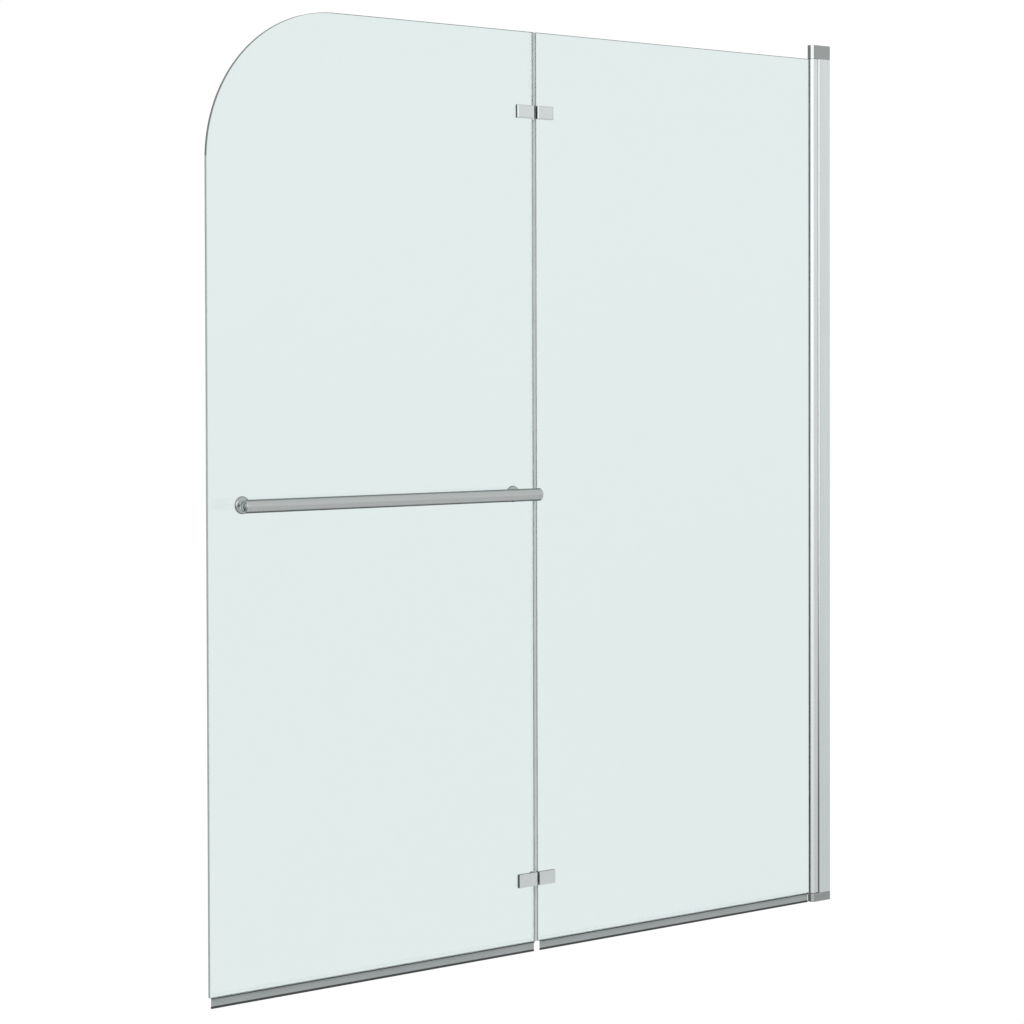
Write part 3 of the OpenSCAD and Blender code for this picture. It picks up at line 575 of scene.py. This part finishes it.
for place, z, b, deep in (("upper", HINGE_Z[0], 1.8, 1.15), ("lower", HINGE_Z[1], 0.15, 0.15)):
    hinge_plate(place + "_inner_plate", place + "_hinge_inner_plate", -619.6, -589.2, z, b, deep)
    hinge_plate(place + "_outer_plate", place + "_hinge_outer_plate", -658.4,
                -625.4 if place == "upper" else -624.4, z, b, deep)
    for side in ("inner", "outer"):
        node = "%s_hinge_%s_leaf" % (place, side)
        bm = from_cad(node, 0.22, 2)
        for f in bm.faces:      # the face towards the glass gets near-black metal, painted shade
            if f.normal.y < -0.5:
                f.material_index = 1
        finish_mesh("%s_%s_knuckle_leaf" % (place, side), bm, [mat_polished, mat_gap_painted_shade], [node])
    node = place + "_hinge_pin"
    bm = bmesh.new()
    lathe(bm, (FOLD_X, 9, z), (0, 0, 1), rounded(
        [(0, -8.4), (2.5, -8.4), (2.5, -8.02), (1.97, -8.0), (1.97, 8.0), (2.8, 8.02), (2.8, 8.6), (0, 8.6)],
        [0, 0.2, 0, 0, 0, 0, 0.35, 0], n=3, closed=False), seg=40)
    finish_mesh(place + "_pin", bm, [mat_steel], [node])

for side, x_in, d in (("inner", -619.6, 1), ("outer", -624.4, -1)):
    pads = bmesh.new()
    sleeves = bmesh.new()
    hole_x = FOLD_X + d * 16.6
    for z in HINGE_Z:
        for s in (-1, 1):
            l, h = (25.6, 8.0) if s > 0 else (30.4 if d > 0 else 34.0, 10.0)
            m = 0.6 if s > 0 else 0.15
            xa, xb = sorted((x_in + d * (0.8 if s > 0 else 0.3), x_in + d * (l - m)))
            loop = rounded([(xa, z - h + m), (xb, z - h + m), (xb, z + h - m), (xa, z + h - m)], 0.8, n=4)
            ya, yb = (2.53, 3.48) if s > 0 else (-3.48, -2.53)
            solid(pads, [loop, circle(hole_x, z, 5.02, 40)], ya, yb, front, r=0.12, seg=2)
        solid(sleeves, [circle(hole_x, z, 4.93, 40), circle(hole_x, z, 3.02, 40)], -3.46, 3.46, front, r=0.15, seg=2)
    finish_mesh(side + "_hinge_pads", pads, [mat_rubber], [side + "_hinge_gaskets"])
    finish_mesh(side + "_hinge_bushings", sleeves, [mat_nylon], [side + "_hinge_sleeves"])
    finish_mesh(side + "_hinge_socket_screws", from_cad(side + "_hinge_screws", 0.12, 2), [mat_steel],
                [side + "_hinge_screws"])

# ------------------------------------------------------------------- towel bar
bm = bmesh.new()
x0, x1 = BAR_X0 + 6.5, BAR_X1 - 6.5
lathe(bm, (0, BAR_Y, BAR_Z), (1, 0, 0), rounded(
    [(8.1, x0), (BAR_R, x0), (BAR_R, x1), (8.1, x1)], [0.3, 0.2, 0.2, 0.3], n=4), seg=96, closed=True)
finish_mesh("towel_bar_rail", bm, [mat_bar], ["towel_bar_tube"])

cap_prof = rounded([(0, -9), (7.95, -9), (7.95, 0.05), (9.4, 0.05), (9.4, 4.9), (8.9, 5.5), (7.6, 5.5),
                    (7.2, 4.6), (6.4, 4.6), (6.0, 5.7), (4.5, 6.15), (2.5, 6.42), (0, 6.5)],
                   [0, 0.6, 0, 0.2, 0.4, 0.3, 0.2, 0.25, 0.2, 0.5, 1.0, 1.0, 0],
                   n=5, closed=False)
for name, node, x, d in (("left_bar_end", "towel_bar_left_cap", x0, -1), ("right_bar_end", "towel_bar_right_cap", x1, 1)):
    bm = bmesh.new()
    lathe(bm, (x, BAR_Y, BAR_Z), (d, 0, 0), cap_prof, seg=80)
    finish_mesh(name, bm, [mat_bar_end], [node])

rosette_prof = rounded([(6.05, 0), (11.3, 0), (12.25, 1.5), (12.25, 2.6), (11.6, 4.2), (10.3, 5.4), (8.6, 6.0),
                        (7.2, 6.2), (6.5, 6.2), (6.05, 6.2)],
                       [0, 0.3, 0.8, 0.8, 2, 2, 2, 1.0, 0.2, 0.15], n=5)
for side, x in (("left", POST_X[0]), ("right", POST_X[1])):
    bm = bmesh.new()
    lathe(bm, (x, -3.3, BAR_Z), (0, -1, 0), rosette_prof, seg=80, closed=True)
    finish_mesh(side + "_domed_rosette", bm, [mat_rosette], [side + "_rosette"])
    finish_mesh(side + "_saddle_post", from_cad(side + "_bar_post", 0.2, 2), [mat_polished], [side + "_bar_post"])
    bm = bmesh.new()
    lathe(bm, (x, 3.3, BAR_Z), (0, 1, 0), rounded([(3.1, 0), (7, 0), (7, 1.2), (3.1, 1.2)],
                                                  [0.1, 0.2, 0.45, 0.2], n=4), seg=64, closed=True)
    finish_mesh(side + "_fixing_disc", bm, [mat_polished], [side + "_back_disc"])

bm = bmesh.new()
for x in POST_X:
    for ya, yb in ((-3.28, -2.53), (2.53, 3.28)):
        solid(bm, [circle(x, BAR_Z, 8.5, 56), circle(x, BAR_Z, 3.12, 40)], ya, yb, front, r=0.15, seg=2)
finish_mesh("clear_bar_washers", bm, [mat_clear], ["bar_washers"])
bm = bmesh.new()
for x in POST_X:
    solid(bm, [circle(x, BAR_Z, 4.93, 40), circle(x, BAR_Z, 3.02, 40)], -2.48, 2.48, front, r=0.15, seg=2)
finish_mesh("bar_glass_sleeves", bm, [mat_nylon], ["bar_sleeves"])
finish_mesh("bar_button_screws", from_cad("bar_fixing_screws", 0.12, 2), [mat_steel], ["bar_fixing_screws"])

# ------------------------------------------------------- small and inner pieces
for node, name, m, b in (
        ("adjusting_screws", "adjusting_pan_screws", mat_steel, 0.12),
        ("end_cap_screws", "end_cap_countersunk_screws", mat_steel, 0.1),
        ("top_pivot_pin", "top_pin", mat_steel, 0.25),
        ("bottom_pivot_pin", "bottom_pin", mat_steel, 0.25),
        ("thrust_washer", "column_thrust_washer", mat_nylon, 0.1),
        ("top_pivot_bush", "top_bush_block", mat_nylon, 0.3),
        ("bottom_pivot_bush", "bottom_bush_block", mat_nylon, 0.3)):
    finish_mesh(name, from_cad(node, b, 2), [m], [node])

# ------------------------------------------------------------ floor and light
FLOOR_Z = -570.0


def seen_ray(n):
    """1 for what the camera sees directly or through glass, 0 after any reflection."""
    path = n.add("ShaderNodeLightPath")
    bounced = n.math("MINIMUM", n.math("ADD", path.outputs["Glossy Depth"], path.outputs["Diffuse Depth"]), 1.0)
    through = n.math("MULTIPLY", path.outputs["Is Transmission Ray"], n.math("SUBTRACT", 1.0, bounced))
    return n.math("MAXIMUM", path.outputs["Is Camera Ray"], through), path


fm, n = new_material("pale_floor")
seen, path = seen_ray(n)
tone = n.noise(0.6, (1, 1, 1), detail=2.0)
em = n.add("ShaderNodeEmission")
n.put(em.inputs["Color"], n.mix(tone, rgb(1.0, 1.0, 1.0), rgb(0.995, 1.0, 1.0)))
em.inputs["Strength"].default_value = 1.02
both = n.add("ShaderNodeMixShader")
n.put(both.inputs[0], seen)
fm.node_tree.links.new(n.add("ShaderNodeBsdfTransparent").outputs[0], both.inputs[1])
fm.node_tree.links.new(em.outputs[0], both.inputs[2])
out = n.add("ShaderNodeOutputMaterial")
fm.node_tree.links.new(both.outputs[0], out.inputs["Surface"])
bm = bmesh.new()
bmesh.ops.create_grid(bm, x_segments=8, y_segments=8, size=40.0)
me = bpy.data.meshes.new("floor")
bm.to_mesh(me)
bm.free()
me.materials.append(fm)
floor = bpy.data.objects.new("floor", me)
floor.location = (0, 0, FLOOR_Z * 0.001)
floor.visible_glossy = False
floor.visible_diffuse = False
scene.collection.objects.link(floor)

# Soft studio: a pale room whose brightness depends on the direction, with a large
# window behind the camera and a few broad panels that model the bright metal.
world = bpy.data.worlds.new("studio")
scene.world = world
world.use_nodes = True
n = Nodes(world.node_tree)
tc = n.add("ShaderNodeTexCoord")
d = tc.outputs["Generated"]
sep = n.add("ShaderNodeSeparateXYZ")
n.put(sep.inputs[0], d)
z = sep.outputs["Z"]
flat = n.math("SQRT", n.math("MAXIMUM", n.math("SUBTRACT", 1.0, n.math("MULTIPLY", z, z)), 1e-4))


def ramp(v, stops):
    """Piecewise linear curve through the stops, over v from -1 to 1."""
    r = n.add("ShaderNodeValToRGB")
    r.color_ramp.interpolation = "LINEAR"
    el = r.color_ramp.elements
    for k, (x, y) in enumerate(stops):
        e = el[k] if k < 2 else el.new(0.5 + 0.5 * x)
        e.position = 0.5 + 0.5 * x
        e.color = (y, y, y, 1.0)
    n.put(r.inputs[0], n.math("MULTIPLY_ADD", v, 0.5, 0.5))
    return r.outputs["Color"]


def lobe(base, value, x, y, lo, hi):
    """base turned into value round the horizontal direction (x, y)."""
    along = n.math("DIVIDE", n.dot(d, (x, y, 0.0)), flat)
    k = n.range(along, lo, hi, 0.0, 1.0, smooth=True)
    m = n.add("ShaderNodeMix", data_type="FLOAT")
    n.put(m.inputs[0], k)
    n.put(m.inputs[2], base)
    n.put(m.inputs[3], value)
    return m.outputs[0]


def patch(base, value, x, y, lo, hi, low, high, soft=0.1):
    """base turned into value round the horizontal direction (x, y), from low to high in Z."""
    along = n.math("DIVIDE", n.dot(d, (x, y, 0.0)), flat)
    k = n.range(along, lo, hi, 0.0, 1.0, smooth=True)
    k = n.math("MULTIPLY", k, n.range(z, low - soft, low, 0.0, 1.0, smooth=True))
    k = n.math("MULTIPLY", k, n.range(z, high, high + soft, 1.0, 0.0, smooth=True))
    m = n.add("ShaderNodeMix", data_type="FLOAT")
    n.put(m.inputs[0], k)
    n.put(m.inputs[2], base)
    n.put(m.inputs[3], value)
    return m.outputs[0]


E = ramp(z, [(-1.0, 0.62), (1.0, 0.72), (-0.5, 0.67), (-0.22, 0.57), (0.05, 0.80), (0.5, 0.75)])
E = lobe(E, ramp(z, [(-1.0, 0.55), (1.0, 0.72), (-0.2, 0.64), (-0.15, 0.76), (-0.06, 1.15), (0.05, 1.22),
                     (0.58, 1.22), (0.75, 0.75)]),
         -0.778, -0.628, 0.80, 0.95)
E = lobe(E, n.range(z, -0.25, 0.15, 0.14, 0.58), -0.66, 0.75, 0.30, 0.80)
E = lobe(E, 0.75, -0.50, 0.866, 0.960, 0.990)
E = lobe(E, 0.04, -0.632, 0.775, 0.9955, 0.9985)
E = lobe(E, ramp(z, [(-1.0, 0.05), (1.0, 0.28), (-0.35, 0.05), (-0.15, 0.90), (0.08, 0.90), (0.19, 0.18),
                     (0.35, 0.24)]), 0.70, 0.714, 0.86, 0.97)
E = patch(E, 0.02, 0.82, 0.57, 0.80, 0.92, -1.5, -0.42)
E = patch(E, 0.38, 0.995, -0.10, 0.965, 0.990, -0.35, 0.35)
E = patch(E, 0.70, 0.58, -0.815, 0.988, 0.997, -0.30, -0.14)
E = patch(E, 3.0, -0.90, -0.43, 0.986, 0.995, 0.16, 0.46)
seen, path = seen_ray(n)
diffuse = n.math("MINIMUM", path.outputs["Diffuse Depth"], 1.0)
soft = n.range(z, -1.0, 1.0, 0.75, 1.10)
E = n.math("ADD", n.math("MULTIPLY", E, n.math("SUBTRACT", 1.0, diffuse)), n.math("MULTIPLY", soft, diffuse))
E = n.math("ADD", n.math("MULTIPLY", E, n.math("SUBTRACT", 1.0, seen)), n.math("MULTIPLY", seen, 1.02))
bg = n.add("ShaderNodeBackground")
n.put(bg.inputs["Strength"], E)
bg.inputs["Color"].default_value = (1.0, 1.0, 1.0, 1.0)
out = n.add("ShaderNodeOutputWorld")
world.node_tree.links.new(bg.outputs[0], out.inputs["Surface"])

# --------------------------------------------------------------------- camera
yaw, pitch, roll = 0.67960945, 0.01943275, 0.00249197
fwd = Vector((math.sin(yaw) * math.cos(pitch), math.cos(yaw) * math.cos(pitch), -math.sin(pitch)))
right = Vector((math.cos(yaw), -math.sin(yaw), 0.0))
down = fwd.cross(right)
r2 = math.cos(roll) * right + math.sin(roll) * down
d2 = -math.sin(roll) * right + math.cos(roll) * down
cam_data = bpy.data.cameras.new("camera")
cam_data.sensor_width = 36.0
cam_data.lens = 2696.15 * 36.0 / 1024.0
cam_data.shift_x = -0.5 / 1024.0
cam_data.shift_y = -(512.0 - 416.03) / 1024.0
cam_data.clip_start = 0.05
cam_data.clip_end = 200.0
cam = bpy.data.objects.new("camera", cam_data)
cam.matrix_world = Matrix(((r2.x, -d2.x, -fwd.x, -3.18385),
                           (r2.y, -d2.y, -fwd.y, -3.11888),
                           (r2.z, -d2.z, -fwd.z, 0.88258),
                           (0, 0, 0, 1)))
scene.collection.objects.link(cam)
scene.camera = cam

scene.view_settings.view_transform = "Standard"
scene.view_settings.look = "None"
scene.view_settings.exposure = 0.0
scene.view_settings.gamma = 1.0
